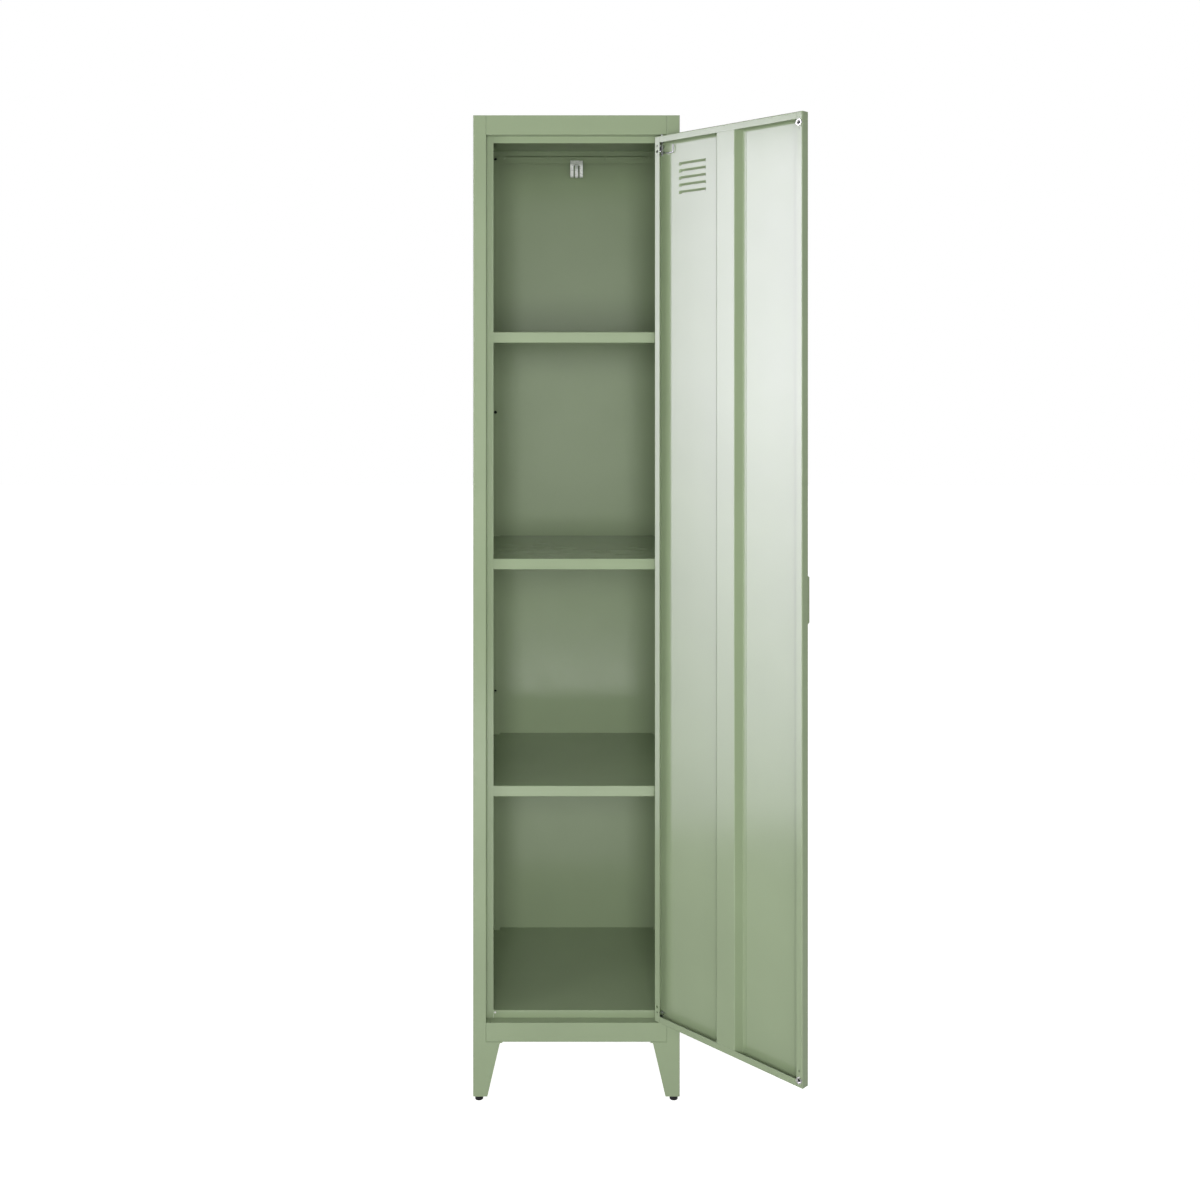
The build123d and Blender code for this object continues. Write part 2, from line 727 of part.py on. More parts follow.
def hook_strip(x, width, path, thickness):
    """A strip of flat bar, bent along a path of (y, z) points and centred on x."""
    with BuildPart() as strip:
        with BuildSketch(Plane(origin=(x, 0, 0), x_dir=(0, 1, 0), z_dir=(1, 0, 0))):
            with BuildLine():
                FilletPolyline(*path, radius=HOOK_BEND)
                offset(amount=thickness, side=Side.LEFT)
            make_face()
        extrude(amount=width / 2, both=True)
    return strip


# The hook: a plate on the pan's upper border, two long prongs and a shorter one between them.
hook_plate_top = body_top - HOOK_TOP_DROP
hook_plate_front = pan_front - HOOK_PLATE_THICKNESS
hook_front = hook_plate_front - HOOK_REACH
hook_middle_front = hook_plate_front - HOOK_REACH + HOOK_TIP


def prong_path(shelf_z, front_y, bottom_z, rise):
    """Out from the plate, down, and forwards and up again into a tip that leans out."""
    return [
        (hook_plate_front, shelf_z),
        (front_y, shelf_z),
        (front_y, bottom_z),
        (front_y - HOOK_TIP, bottom_z),
        (front_y - HOOK_TIP - HOOK_TIP_LEAN * rise, bottom_z + rise),
    ]


outer_path = prong_path(
    hook_plate_top - HOOK_SHEET, hook_front, body_top - HOOK_OUTER_BOTTOM, HOOK_OUTER_RISE
)
middle_path = prong_path(
    hook_plate_top - HOOK_PLATE_HEIGHT + HOOK_SHEET,
    hook_middle_front,
    body_top - HOOK_MIDDLE_BOTTOM,
    HOOK_MIDDLE_RISE,
)
prongs = [
    hook_strip(-HOOK_SPREAD, HOOK_WIDTH, outer_path, HOOK_SHEET),
    hook_strip(0, HOOK_WIDTH, middle_path, HOOK_SHEET),
    hook_strip(HOOK_SPREAD, HOOK_WIDTH, outer_path, HOOK_SHEET),
]
with BuildPart() as coat_hook:
    with BuildSketch(Plane.XZ.offset(-pan_front)):
        with Locations((0, hook_plate_top - HOOK_PLATE_HEIGHT / 2)):
            RectangleRounded(HOOK_PLATE_WIDTH, HOOK_PLATE_HEIGHT, 2 * HOOK_SHEET)
    extrude(amount=HOOK_PLATE_THICKNESS)
    for prong in prongs:
        add(prong.part)
save(coat_hook, "coat_hook")


# ---------------------------------------------------------------- Door

door_out = Axis(door_point(0, 0, 0), door_frame.y_dir)


def louvre(rise, proud, length, depth):
    """One louvre's bulge above its mouth, from the door depth given, sloped on top and at its ends."""
    middle = door_hinge_edge + LOUVRE_START + LOUVRE_LENGTH / 2
    facing_out = Plane(
        origin=door_point(middle, depth, rise),
        x_dir=-door_frame.x_dir,
        z_dir=door_frame.y_dir,
    )
    with BuildPart() as bulge:
        with BuildSketch(facing_out):
            Rectangle(length, 2 * LOUVRE_HEIGHT)
        extrude(amount=proud, taper=LOUVRE_END_ANGLE)
        split(bisect_by=Plane(origin=door_point(middle, depth, rise), z_dir=(0, 0, 1)), keep=Keep.TOP)
    return bulge


louvre_mouths = [
    door_height - LOUVRE_FIRST_DROP - LOUVRE_HEIGHT - index * LOUVRE_PITCH for index in range(LOUVRES)
]

outer_bulges = [louvre(rise, LOUVRE_PROUD, LOUVRE_LENGTH, door_outer) for rise in louvre_mouths]
inner_bulges = [louvre(rise, LOUVRE_PROUD, LOUVRE_LENGTH, door_outer - SHEET) for rise in louvre_mouths]

# The door is a pan: an outer skin, four edge walls and a flange turned in behind all four.
with BuildPart() as door_panel:
    with BuildSketch(door_facing_in(door_outer)):
        with Locations((door_middle, door_height / 2)):
            Rectangle(door_width, door_height)
    extrude(amount=DOOR_THICKNESS)
    fillet(door_panel.faces().sort_by(door_out)[-1].edges(), BEND)
    fillet(door_panel.faces().sort_by(door_out)[0].edges(), BEND)
    for bulge in outer_bulges:
        add(bulge.part)
    for bulge in inner_bulges:
        add(bulge.part, mode=Mode.SUBTRACT)
    with BuildSketch(door_facing_in(door_outer - SHEET)):
        with Locations((door_middle, door_height / 2)):
            Rectangle(door_width - 2 * SHEET, door_height - 2 * SHEET)
    extrude(amount=DOOR_THICKNESS - 2 * SHEET, mode=Mode.SUBTRACT)
    with BuildSketch(door_facing_in(door_outer - SHEET)):
        with Locations((door_middle, door_height / 2)):
            Rectangle(door_width - 2 * DOOR_FLANGE, door_height - 2 * DOOR_FLANGE)
    extrude(amount=DOOR_THICKNESS, mode=Mode.SUBTRACT)
    # The top and bottom flanges butt against the full-height ones with a hairline seam.
    with BuildSketch(door_facing_in(door_inner + 2 * SHEET)):
        for x in (door_hinge_edge + DOOR_FLANGE, door_free_edge - DOOR_FLANGE):
            for z in (DOOR_FLANGE / 2, door_height - DOOR_FLANGE / 2):
                with Locations((x, z)):
                    Rectangle(FLANGE_SEAM, DOOR_FLANGE - 2 * BEND)
        hinge_line = door_hinge_edge + DOOR_FLANGE / 2
        free_line = door_free_edge - DOOR_FLANGE / 2
        for drop, hole_radius in HINGE_FLANGE_HOLES.items():
            with Locations((hinge_line, drop), (hinge_line, door_height - drop)):
                Circle(hole_radius)
        with Locations((free_line, FREE_FLANGE_HOLE), (free_line, door_height - FREE_FLANGE_HOLE)):
            Circle(FLANGE_HOLE_RADIUS)
        with Locations((free_line, MAGNET_BOTTOM_RISE), (free_line, door_height - MAGNET_TOP_DROP)):
            Circle(MAGNET_BORE)
    extrude(amount=2 * SHEET, mode=Mode.SUBTRACT)
    with BuildSketch(door_frame):
        Circle(pivot_hole_radius)
    extrude(amount=door_height, mode=Mode.SUBTRACT)
    with BuildSketch(door_facing_in(door_outer - 2 * SHEET)):
        for end in (-1, 1):
            with Locations((pull_screw_x, PULL_HEIGHT - door_bottom + end * PULL_SCREW_SPREAD)):
                Circle(SCREW_HOLE)
    extrude(amount=-2 * SHEET, mode=Mode.SUBTRACT)
save(door_panel, "door_panel")

# A hat-section stiffener stands on the skin, its two ends tucked under the door's flanges.
skin_inner = door_outer - SHEET
hat_face = door_inner + 2 * SHEET + SEAM
hat_end_gap = SHEET + SEAM
hat_start = door_hinge_edge + STIFFENER_START
hat_end = hat_start + STIFFENER_FACE
with BuildPart() as door_stiffener:
    with BuildSketch(door_frame.offset(hat_end_gap)):
        with BuildLine():
            FilletPolyline(
                (hat_start - STIFFENER_SLANT - STIFFENER_FOOT, skin_inner),
                (hat_start - STIFFENER_SLANT, skin_inner),
                (hat_start, hat_face),
                (hat_end, hat_face),
                (hat_end + STIFFENER_SLANT, skin_inner),
                (hat_end + STIFFENER_SLANT + STIFFENER_FOOT, skin_inner),
                radius=BEND,
            )
            offset(amount=SHEET, side=Side.RIGHT)
        make_face()
    extrude(amount=door_height - 2 * hat_end_gap)
save(door_stiffener, "door_stiffener")


def door_bracket(path, side):
    """A folded bracket on the hinge-side wall, bored for the hinge pin; path is in (x, z)."""
    with BuildPart() as bracket:
        with BuildSketch(door_facing_in(skin_inner - BRACKET_GAP)):
            with BuildLine():
                FilletPolyline(*path, radius=BEND)
                offset(amount=BRACKET_SHEET, side=side)
            make_face()
        extrude(amount=BRACKET_WIDTH)
        with BuildSketch(door_frame):
            Circle(pivot_hole_radius)
        extrude(amount=door_height, mode=Mode.SUBTRACT)
    return bracket


bracket_wall = door_hinge_edge + SHEET
bracket_tip = bracket_wall + BRACKET_REACH
upper_ear = door_height - BRACKET_TOP_DROP
lower_ear = upper_ear - BRACKET_HEIGHT
upper_path = [
    (bracket_tip, upper_ear),
    (bracket_wall, upper_ear),
    (bracket_wall, lower_ear),
    (bracket_tip, lower_ear),
]
save(door_bracket(upper_path, Side.LEFT), "upper_hinge_bracket")
lower_path = [(bracket_tip, LOWER_PIN_ABOVE), (bracket_wall, LOWER_PIN_ABOVE), (bracket_wall, BEND)]
save(door_bracket(lower_path, Side.LEFT), "lower_hinge_bracket")


def hinge_pin(low, high, collar_low, collar_high):
    """A turned pin on the hinge axis with a collar; heights are above the door's lower edge."""
    outline = [
        (0, door_bottom + low),
        (PIVOT_RADIUS - PIN_BEVEL, door_bottom + low),
        (PIVOT_RADIUS, door_bottom + low + PIN_BEVEL),
        (PIVOT_RADIUS, door_bottom + collar_low),
        (COLLAR_RADIUS, door_bottom + collar_low),
        (COLLAR_RADIUS, door_bottom + collar_high),
        (PIVOT_RADIUS, door_bottom + collar_high),
        (PIVOT_RADIUS, door_bottom + high - PIN_BEVEL),
        (PIVOT_RADIUS - PIN_BEVEL, door_bottom + high),
        (0, door_bottom + high),
    ]
    return turned(hinge_x, hinge_y, outline)


collar_top = upper_ear - BRACKET_SHEET - SEAM
collar_bottom = collar_top - COLLAR_HEIGHT
pin_top = door_height + PIN_ABOVE_DOOR
save(hinge_pin(pin_top - PIN_LENGTH, pin_top, collar_bottom, collar_top), "upper_hinge_pin")
lower_pin_top = LOWER_PIN_ABOVE + BRACKET_SHEET
save(
    hinge_pin(-LOWER_PIN_BELOW, lower_pin_top + SHEET, LOWER_PIN_ABOVE, lower_pin_top),
    "lower_hinge_pin",
)

# A cranked wire on the pin's lower end draws the pin down so that the door lifts out.
lever_height = door_height - LEVER_DROP
with BuildPart() as pin_lever:
    with BuildLine() as lever_path:
        FilletPolyline(
            door_point(PIVOT_RADIUS, 0, lever_height),
            door_point(LEVER_LENGTH, 0, lever_height),
            door_point(LEVER_LENGTH, 0, lever_height + LEVER_RISE),
            radius=LEVER_BEND,
        )
    with BuildSketch(door_facing_free_edge(PIVOT_RADIUS)):
        with Locations((0, lever_height)):
            Circle(LEVER_RADIUS)
    sweep(path=lever_path.wire())
save(pin_lever, "pin_lever")

# The coil spring round the pin pushes up on its collar from the bracket's lower ear.
spring_bottom = lower_ear + BRACKET_SHEET + SPRING_WIRE + SEAM
spring_height = collar_bottom - SPRING_WIRE - SEAM - spring_bottom
with BuildPart() as pin_spring:
    with BuildLine() as coil:
        Helix(
            pitch=spring_height / SPRING_TURNS,
            height=spring_height,
            radius=SPRING_COIL,
            center=door_point(0, 0, spring_bottom),
        )
    with BuildSketch(coil.line ^ 0):
        Circle(SPRING_WIRE)
    sweep(is_frenet=True)
save(pin_spring, "pin_spring")

with BuildPart() as pivot_washer:
    with BuildSketch(Plane.XY.offset(bottom_rail_top)):
        with Locations((hinge_x, hinge_y)):
            Circle(WASHER_RADIUS)
            Circle(pivot_hole_radius, mode=Mode.SUBTRACT)
    extrude(amount=WASHER_THICKNESS)
save(pivot_washer, "pivot_washer")


def magnet(height):
    """A ring magnet on the free-side flange with a countersunk bore."""
    face = Plane(
        origin=door_point(free_line, door_inner, height),
        x_dir=door_frame.x_dir,
        z_dir=-door_frame.y_dir,
    )
    with BuildPart() as ring:
        with BuildSketch(face):
            Circle(MAGNET_RADIUS)
            Circle(MAGNET_BORE, mode=Mode.SUBTRACT)
        extrude(amount=MAGNET_THICKNESS)
        open_edges = ring.faces().sort_by(door_out)[0].edges().sort_by(SortBy.RADIUS)
        chamfer(open_edges[0], MAGNET_COUNTERSINK)
        chamfer(open_edges[-1], MAGNET_BEVEL)
    with BuildPart() as rivet:
        with BuildSketch(face.offset(-SHEET - RIVET_TAIL)):
            Circle(RIVET_TAIL_RADIUS)
        extrude(amount=RIVET_TAIL)
        with BuildSketch(face.offset(-SHEET)):
            Circle(MAGNET_BORE - RIVET_CLEARANCE)
        extrude(amount=SHEET + MAGNET_THICKNESS - MAGNET_COUNTERSINK)
    return ring, rivet


upper_ring, upper_rivet = magnet(door_height - MAGNET_TOP_DROP)
lower_ring, lower_rivet = magnet(MAGNET_BOTTOM_RISE)
save(upper_ring, "upper_magnet")
save(lower_ring, "lower_magnet")
with BuildPart() as magnet_rivets:
    add(upper_rivet.part)
    add(lower_rivet.part)
save(magnet_rivets, "magnet_rivets")

# The edge pull: an angle riveted to the outer skin, with slanted ends on its upright leaf.
pull_middle = PULL_HEIGHT - door_bottom
with BuildPart() as edge_pull:
    with BuildSketch(door_frame.offset(pull_middle - PULL_LENGTH / 2)):
        with BuildLine():
            FilletPolyline(
                (pull_face - PULL_BASE, door_outer),
                (pull_face, door_outer),
                (pull_face, door_outer + PULL_PROUD),
                radius=2 * BEND,
            )
            offset(amount=PULL_SHEET, side=Side.LEFT)
        make_face()
    extrude(amount=PULL_LENGTH)
    with BuildSketch(door_facing_free_edge(pull_face)):
        with BuildLine():
            Polyline(
                (door_outer, pull_middle - PULL_LENGTH / 2),
                (door_outer, pull_middle + PULL_LENGTH / 2),
                (door_outer + PULL_PROUD, pull_middle + PULL_LENGTH / 2 - PULL_SLANT),
                (door_outer + PULL_PROUD, pull_middle - PULL_LENGTH / 2 + PULL_SLANT),
                close=True,
            )
        make_face()
    extrude(amount=-PULL_BASE, mode=Mode.INTERSECT)
    with BuildSketch(door_facing_in(door_outer)):
        for end in (-1, 1):
            with Locations((pull_screw_x, pull_middle + end * PULL_SCREW_SPREAD)):
                Circle(SCREW_HOLE)
    extrude(amount=-PULL_SHEET, mode=Mode.SUBTRACT)
save(edge_pull, "edge_pull")

with BuildPart() as pull_rivets:
    with BuildSketch(door_facing_in(door_outer + PULL_SHEET)):
        for end in (-1, 1):
            with Locations((pull_screw_x, pull_middle + end * PULL_SCREW_SPREAD)):
                Circle(SCREW_HEAD)
    extrude(amount=-SCREW_HEAD_HEIGHT)
    fillet(pull_rivets.faces().sort_by(door_out)[-2:].edges(), SCREW_HEAD_ROUND)
    with BuildSketch(door_facing_in(door_outer + PULL_SHEET)):
        for end in (-1, 1):
            with Locations((pull_screw_x, pull_middle + end * PULL_SCREW_SPREAD)):
                Circle(SCREW_SHANK)
    extrude(amount=PULL_SHEET + SHEET)
save(pull_rivets, "pull_rivets")

# A small nylon buffer in the frame's lower corner, where the closing door meets the stop.
with BuildPart() as corner_buffer:
    with BuildSketch(Plane.XZ.offset(-stop_front)):
        with Locations((BUFFER_INSET - stop_inner, floor_top - BUFFER_DROP)):
            Circle(BUFFER_RADIUS)
    extrude(amount=BUFFER_THICKNESS)
    fillet(corner_buffer.faces().sort_by(Axis.Y)[0].edges(), BUFFER_ROUND)
save(corner_buffer, "corner_buffer")
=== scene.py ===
"""The looks of a narrow powder-coated steel locker with its door open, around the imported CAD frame."""

import json
from math import cos, pi, radians, sin

import bpy
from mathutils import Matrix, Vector


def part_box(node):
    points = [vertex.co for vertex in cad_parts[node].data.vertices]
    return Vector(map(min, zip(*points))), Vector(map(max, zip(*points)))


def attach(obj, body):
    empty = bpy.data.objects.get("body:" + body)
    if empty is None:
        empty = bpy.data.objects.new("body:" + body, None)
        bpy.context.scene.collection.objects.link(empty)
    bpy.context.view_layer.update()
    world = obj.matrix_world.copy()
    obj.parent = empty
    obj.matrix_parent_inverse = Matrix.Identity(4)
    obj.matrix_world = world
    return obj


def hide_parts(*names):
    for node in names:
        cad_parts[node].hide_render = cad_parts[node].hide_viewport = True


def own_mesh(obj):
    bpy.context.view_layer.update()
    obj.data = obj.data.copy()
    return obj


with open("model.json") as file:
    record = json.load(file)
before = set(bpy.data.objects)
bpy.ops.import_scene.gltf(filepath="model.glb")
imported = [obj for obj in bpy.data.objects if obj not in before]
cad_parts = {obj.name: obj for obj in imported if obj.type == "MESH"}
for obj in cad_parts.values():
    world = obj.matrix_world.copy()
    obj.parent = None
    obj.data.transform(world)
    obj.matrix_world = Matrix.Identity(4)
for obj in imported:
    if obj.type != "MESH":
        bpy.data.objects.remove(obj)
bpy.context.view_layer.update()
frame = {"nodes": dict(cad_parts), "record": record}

# ---------------------------------------------------------------- Camera

CAMERA_DISTANCE = 2.407
CAMERA_HEIGHT = 1.324
CAMERA_SIDE = 0.0021
LENS = 39.28
SHIFT_X = 0.0187
SHIFT_Y = -0.1823

carcass_low, carcass_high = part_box("left_side_panel")
carcass_front = carcass_low[1]
carcass_top = carcass_high[2]


def make_camera():
    """A level camera square to the front, at about three quarters of the locker's height."""
    data = bpy.data.cameras.new("camera")
    data.lens = LENS
    data.sensor_width = 36.0
    data.shift_x = SHIFT_X
    data.shift_y = SHIFT_Y
    camera = bpy.data.objects.new("camera", data)
    camera.location = (CAMERA_SIDE, carcass_front - CAMERA_DISTANCE, CAMERA_HEIGHT)
    camera.rotation_euler = (radians(90), 0, 0)
    bpy.context.collection.objects.link(camera)
    bpy.context.scene.camera = camera


# ---------------------------------------------------------------- Material building blocks


def new_material(name):
    """A material with an empty tree but for its shader and output."""
    material = bpy.data.materials.new(name)
    material.use_nodes = True
    tree = material.node_tree
    tree.nodes.clear()
    shader = tree.nodes.new("ShaderNodeBsdfPrincipled")
    output = tree.nodes.new("ShaderNodeOutputMaterial")
    tree.links.new(shader.outputs["BSDF"], output.inputs["Surface"])
    return material, tree, shader


def noise(tree, scale, detail=3.0, roughness=0.5, stretch=(1, 1, 1)):
    """Noise in the object's own coordinates, in metres, optionally stretched along an axis."""
    where = tree.nodes.new("ShaderNodeTexCoord")
    mapping = tree.nodes.new("ShaderNodeMapping")
    mapping.inputs["Scale"].default_value = stretch
    texture = tree.nodes.new("ShaderNodeTexNoise")
    texture.inputs["Scale"].default_value = scale
    texture.inputs["Detail"].default_value = detail
    texture.inputs["Roughness"].default_value = roughness
    tree.links.new(where.outputs["Object"], mapping.inputs["Vector"])
    tree.links.new(mapping.outputs["Vector"], texture.inputs["Vector"])
    return texture.outputs["Fac"]


def ramp(tree, value, stops):
    """Colours or greys at places along a 0 to 1 value."""
    node = tree.nodes.new("ShaderNodeValToRGB")
    while len(node.color_ramp.elements) < len(stops):
        node.color_ramp.elements.new(0.5)
    for element, (place, colour) in zip(node.color_ramp.elements, stops):
        element.position = place
        element.color = (*colour, 1.0) if isinstance(colour, tuple) else (colour, colour, colour, 1.0)
    tree.links.new(value, node.inputs["Fac"])
    return node.outputs["Color"]


def bump(tree, shader, layers):
    """Stack bump layers, each a (height value, strength, distance in metres)."""
    previous = None
    for height, strength, distance in layers:
        node = tree.nodes.new("ShaderNodeBump")
        node.inputs["Strength"].default_value = strength
        node.inputs["Distance"].default_value = distance
        tree.links.new(height, node.inputs["Height"])
        if previous:
            tree.links.new(previous, node.inputs["Normal"])
        previous = node.outputs["Normal"]
    tree.links.new(previous, shader.inputs["Normal"])


# ---------------------------------------------------------------- Materials

SAGE = (0.280, 0.350, 0.213)
PEEL_SCALE = 420.0
GRAIN_SCALE = 1600.0


def shade(colour, factor):
    """The same colour, lighter or darker."""
    return tuple(min(1.0, part * factor) for part in colour)


def powder_coat(name, colour, roughness):
    """Satin powder coat: fine orange peel, a faint drift of tone and uneven gloss."""
    material, tree, shader = new_material(name)
    drift = noise(tree, 5.0, 2.0)
    tone = ramp(tree, drift, [(0.3, shade(colour, 0.97)), (0.7, shade(colour, 1.03))])
    tree.links.new(tone, shader.inputs["Base Color"])
    shader.inputs["Specular IOR Level"].default_value = 1.0
    gloss = ramp(tree, noise(tree, 22.0, 3.0), [(0.3, roughness - 0.02), (0.7, roughness + 0.02)])
    tree.links.new(gloss, shader.inputs["Roughness"])
    bump(
        tree,
        shader,
        [(noise(tree, PEEL_SCALE, 2.0, 0.4), 0.035, 0.0004), (noise(tree, GRAIN_SCALE, 1.0), 0.04, 0.0001)],
    )
    return material


def metal(name, colour, roughness, scale, stretch, strength, metallic=1.0):
    """Plated or drawn metal with a fine directional grain; below 1, metallic adds a satin scatter."""
    material, tree, shader = new_material(name)
    shader.inputs["Metallic"].default_value = metallic
    grain = noise(tree, scale, 4.0, 0.6, stretch)
    tone = ramp(tree, grain, [(0.3, shade(colour, 0.9)), (0.7, shade(colour, 1.05))])
    tree.links.new(tone, shader.inputs["Base Color"])
    gloss = ramp(tree, grain, [(0.3, roughness * 0.8), (0.7, roughness * 1.25)])
    tree.links.new(gloss, shader.inputs["Roughness"])
    bump(tree, shader, [(grain, strength, 0.0002)])
    return material


def plastic(name, colour, roughness, scale, strength):
    """Moulded plastic with a fine spark-eroded texture."""
    material, tree, shader = new_material(name)
    drift = noise(tree, 60.0, 2.0)
    tone = ramp(tree, drift, [(0.3, shade(colour, 0.9)), (0.7, shade(colour, 1.1))])
    tree.links.new(tone, shader.inputs["Base Color"])
    gloss = ramp(tree, drift, [(0.3, roughness - 0.05), (0.7, roughness + 0.05)])
    tree.links.new(gloss, shader.inputs["Roughness"])
    bump(tree, shader, [(noise(tree, scale, 2.0), strength, 0.0002)])
    return material


def make_materials():
    """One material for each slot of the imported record."""
    return {
        "powder_coat": powder_coat("powder_coat", SAGE, 0.18),
        "black_plastic": plastic("black_plastic", (0.012, 0.012, 0.013), 0.5, 1500.0, 0.3),
        "zinc_steel": metal("zinc_steel", (0.62, 0.63, 0.64), 0.3, 300.0, (1, 1, 6), 0.1),
        "black_steel": metal("black_steel", (0.035, 0.04, 0.035), 0.45, 400.0, (1, 1, 1), 0.1),
        "bright_plating": metal("bright_plating", (0.93, 0.95, 0.91), 0.3, 200.0, (1, 1, 4), 0.05, 0.4),
        "nickel_magnet": metal("nickel_magnet", (0.80, 0.80, 0.78), 0.22, 300.0, (1, 1, 1), 0.05),
        "spring_steel": metal("spring_steel", (0.45, 0.45, 0.46), 0.3, 900.0, (1, 1, 1), 0.1),
        "white_nylon": plastic("white_nylon", (0.75, 0.75, 0.71), 0.4, 900.0, 0.1),
    }


def dress_frame(materials):
    """Give each CAD node its slot's material."""
    for row in frame["record"]["subparts"]:
        piece = frame["nodes"][row["node"]]
        piece.data.materials.clear()
        piece.data.materials.append(materials[row["material_slot"]])


# ---------------------------------------------------------------- Latch spring

SPRING_WIRE = 0.00025
SPRING_TURNS = 4
SPRING_STEPS = 40
WIRE_SIDES = 10


def coil_mesh(name, low, high):
    """A round wire wound upwards inside a box, with flat ends."""
    middle = (low + high) / 2
    radius = (high.x - low.x) / 2 - SPRING_WIRE
    rise = high.z - low.z - 2 * SPRING_WIRE
    count = SPRING_TURNS * SPRING_STEPS
    upward = Vector((0, 0, 1))
    points = []
    for step in range(count + 1):
        turn = 2 * pi * step / SPRING_STEPS
        outward = Vector((cos(turn), sin(turn), 0))
        centre = Vector((middle.x, middle.y, low.z + SPRING_WIRE + rise * step / count)) + radius * outward
        for side in range(WIRE_SIDES):
            around = 2 * pi * side / WIRE_SIDES
            points.append(centre + SPRING_WIRE * (cos(around) * outward + sin(around) * upward))
    faces = []
    for step in range(count):
        here, ahead = step * WIRE_SIDES, (step + 1) * WIRE_SIDES
        for side in range(WIRE_SIDES):
            beside = (side + 1) % WIRE_SIDES
            faces.append((here + side, here + beside, ahead + beside, ahead + side))
    faces.append(tuple(reversed(range(WIRE_SIDES))))
    faces.append(tuple(range(count * WIRE_SIDES, (count + 1) * WIRE_SIDES)))
    mesh = bpy.data.meshes.new(name)
    mesh.from_pydata(points, [], faces)
    mesh.shade_smooth()
    return mesh


def make_spring(material):
    """The coil round the upper hinge pin, built in place of the CAD spring and carried with the door."""
    low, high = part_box("pin_spring")
    mesh = coil_mesh("latch_spring", low, high)
    mesh.materials.append(material)
    spring = bpy.data.objects.new("latch_spring", mesh)
    bpy.context.collection.objects.link(spring)
    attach(spring, "door")
    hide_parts("pin_spring")
    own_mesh(spring)


# ---------------------------------------------------------------- Studio

KEY_SIDE = 1.7
KEY_FRONT = -4.3
KEY_RISE = 1.6
KEY_SIZE = (1.4, 2.2)
KEY_POWER = 13.0
FRONT_PLACE = (0, -3.3, 1.25)
FRONT_SIZE = (1.0, 1.4)
FRONT_POWER = 57.0
LEFT_PLACE = (-3.0, -2.2, 1.2)
LEFT_SIZE = (1.2, 2.0)
LEFT_POWER = 28.0
AMBIENT = 0.27
FLOOR_GLOW = 0.86
FLOOR_REACH = 14.0
WASH_SIDE = -1.3
WASH_FRONT = -0.58
WASH_RISE = 1.05
WASH_SIZE = (0.8, 2.1)
WASH_POWER = 33.0
WASH_TINT = (1.0, 0.92, 1.12)
WASH_FADES = (("Y", -0.18, 0.62, 0.0, 1.0), ("X", 0.1, 0.55, 0.6, 1.0))


def studio_light(name, place, target, size, power):
    """A soft rectangular light aimed level at a point, its long side upright."""
    data = bpy.data.lights.new(name, "AREA")
    data.shape = "RECTANGLE"
    data.size, data.size_y = size
    data.energy = power
    light = bpy.data.objects.new(name, data)
    light.location = place
    aim = Vector(target) - Vector(place)
    light.rotation_euler = aim.to_track_quat("-Z", "Y").to_euler()
    bpy.context.collection.objects.link(light)
    return light


def fade_light(data):
    """Let a light fade out towards its lower edge and dim towards the carcass."""
    data.use_nodes = True
    tree = data.node_tree
    emission = tree.nodes["Emission"]
    place = tree.nodes.new("ShaderNodeNewGeometry")
    parts = tree.nodes.new("ShaderNodeSeparateXYZ")
    tree.links.new(place.outputs["Parametric"], parts.inputs["Vector"])
    strength = None
    for axis, from_low, from_high, low, high in WASH_FADES:
        fade = tree.nodes.new("ShaderNodeMapRange")
        fade.inputs["From Min"].default_value = from_low
        fade.inputs["From Max"].default_value = from_high
        fade.inputs["To Min"].default_value = low
        fade.inputs["To Max"].default_value = high
        tree.links.new(parts.outputs[axis], fade.inputs["Value"])
        if strength:
            both = tree.nodes.new("ShaderNodeMath")
            both.operation = "MULTIPLY"
            tree.links.new(strength, both.inputs[0])
            tree.links.new(fade.outputs["Result"], both.inputs[1])
            strength = both.outputs["Value"]
        else:
            strength = fade.outputs["Result"]
    tree.links.new(strength, emission.inputs["Strength"])


def glow_for_camera(tree, emission, strength):
    """Let only the camera see a glow of this strength."""
    path = tree.nodes.new("ShaderNodeLightPath")
    scale = tree.nodes.new("ShaderNodeMath")
    scale.operation = "MULTIPLY"
    scale.inputs[1].default_value = strength
    tree.links.new(path.outputs["Is Camera Ray"], scale.inputs[0])
    tree.links.new(scale.outputs["Value"], emission)


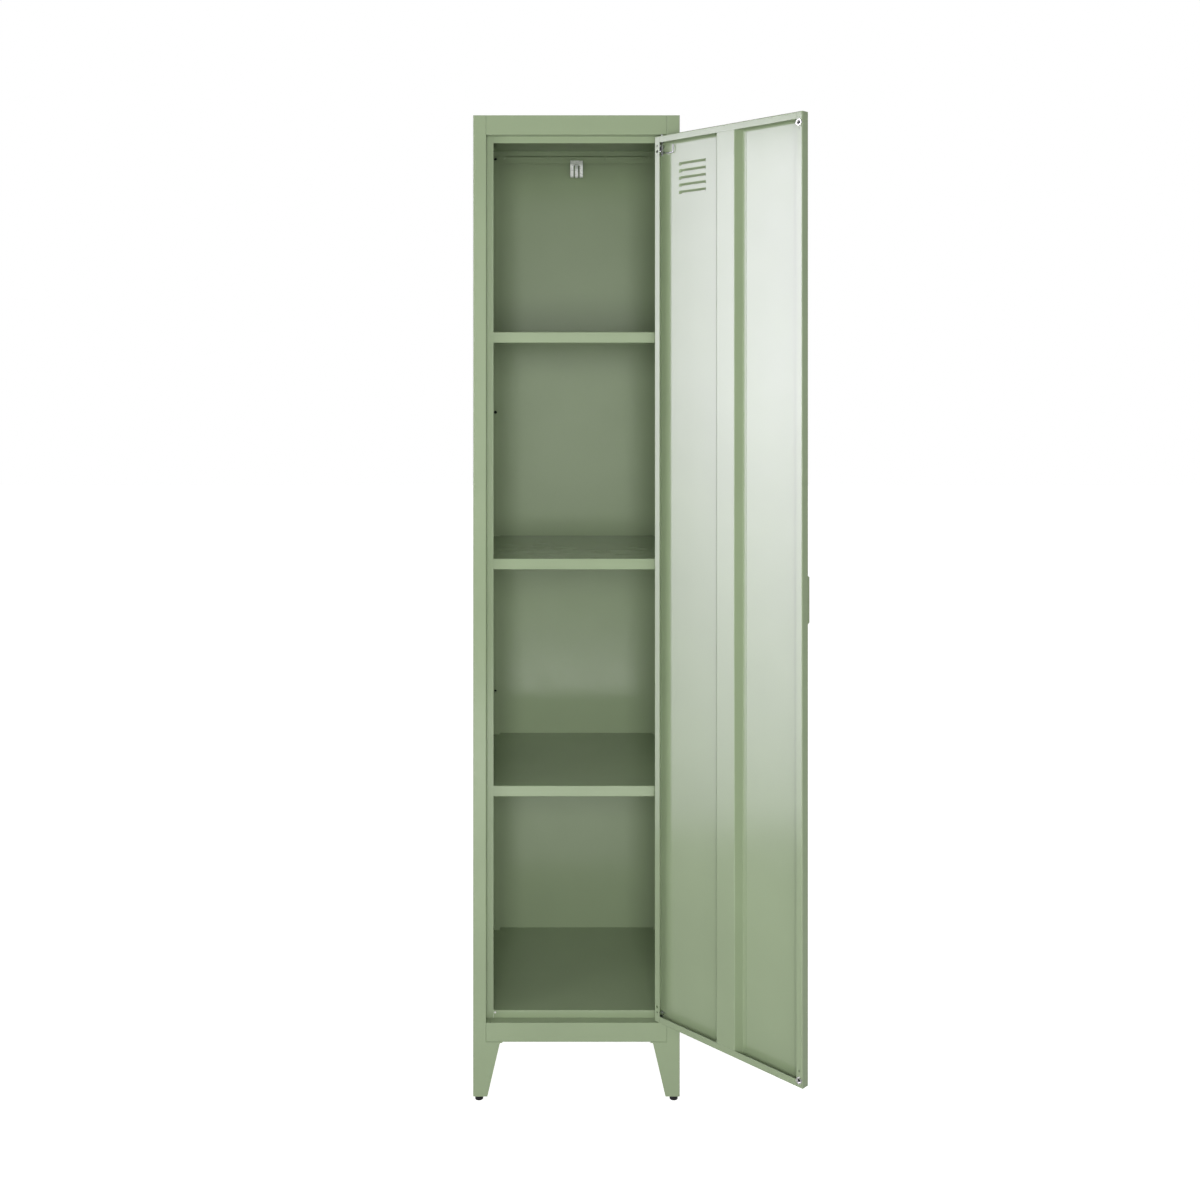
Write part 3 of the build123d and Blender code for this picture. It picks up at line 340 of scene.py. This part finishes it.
def make_floor():
    """A pale matt floor, lifted to near white for the camera so that shadows on it stay faint."""
    reach = FLOOR_REACH
    mesh = bpy.data.meshes.new("floor")
    corners = [(-reach, -reach, 0), (reach, -reach, 0), (reach, reach, 0), (-reach, reach, 0)]
    mesh.from_pydata(corners, [], [(0, 1, 2, 3)])
    floor = bpy.data.objects.new("floor", mesh)
    bpy.context.collection.objects.link(floor)
    material, tree, shader = new_material("studio_floor")
    tone = ramp(tree, noise(tree, 2.0), [(0.0, 0.78), (1.0, 0.82)])
    tree.links.new(tone, shader.inputs["Base Color"])
    shader.inputs["Roughness"].default_value = 0.95
    shader.inputs["Specular IOR Level"].default_value = 0.0
    shader.inputs["Emission Color"].default_value = (1, 1, 1, 1)
    glow_for_camera(tree, shader.inputs["Emission Strength"], FLOOR_GLOW)
    mesh.materials.append(material)


def make_world():
    """A white surround for the camera and a softer, even one for everything else."""
    world = bpy.data.worlds.new("studio")
    world.use_nodes = True
    tree = world.node_tree
    background = tree.nodes["Background"]
    background.inputs["Color"].default_value = (1, 1, 1, 1)
    path = tree.nodes.new("ShaderNodeLightPath")
    level = tree.nodes.new("ShaderNodeMapRange")
    level.inputs["To Min"].default_value = AMBIENT
    level.inputs["To Max"].default_value = 1.0
    tree.links.new(path.outputs["Is Camera Ray"], level.inputs["Value"])
    tree.links.new(level.outputs["Result"], background.inputs["Strength"])
    bpy.context.scene.world = world


def make_studio():
    """Two side keys and a front key, a fill from the left, and a tall light that washes the open door."""
    middle = (0, 0, carcass_top / 2)
    for name, side in (("key_left", -1), ("key_right", 1)):
        studio_light(name, (side * KEY_SIDE, KEY_FRONT, KEY_RISE), middle, KEY_SIZE, KEY_POWER)
    front_key = studio_light("front_key", FRONT_PLACE, middle, FRONT_SIZE, FRONT_POWER)
    front_key.visible_glossy = False
    left_fill = studio_light("left_fill", LEFT_PLACE, middle, LEFT_SIZE, LEFT_POWER)
    left_fill.visible_glossy = False
    place = (WASH_SIDE, WASH_FRONT, WASH_RISE)
    wash = studio_light("wash", place, (0, WASH_FRONT, WASH_RISE), WASH_SIZE, WASH_POWER)
    wash.data.color = WASH_TINT
    wash.visible_diffuse = False
    fade_light(wash.data)
    make_floor()
    make_world()


make_camera()
materials = make_materials()
dress_frame(materials)
make_spring(materials["spring_steel"])
make_studio()
bpy.context.scene.view_settings.view_transform = "Standard"
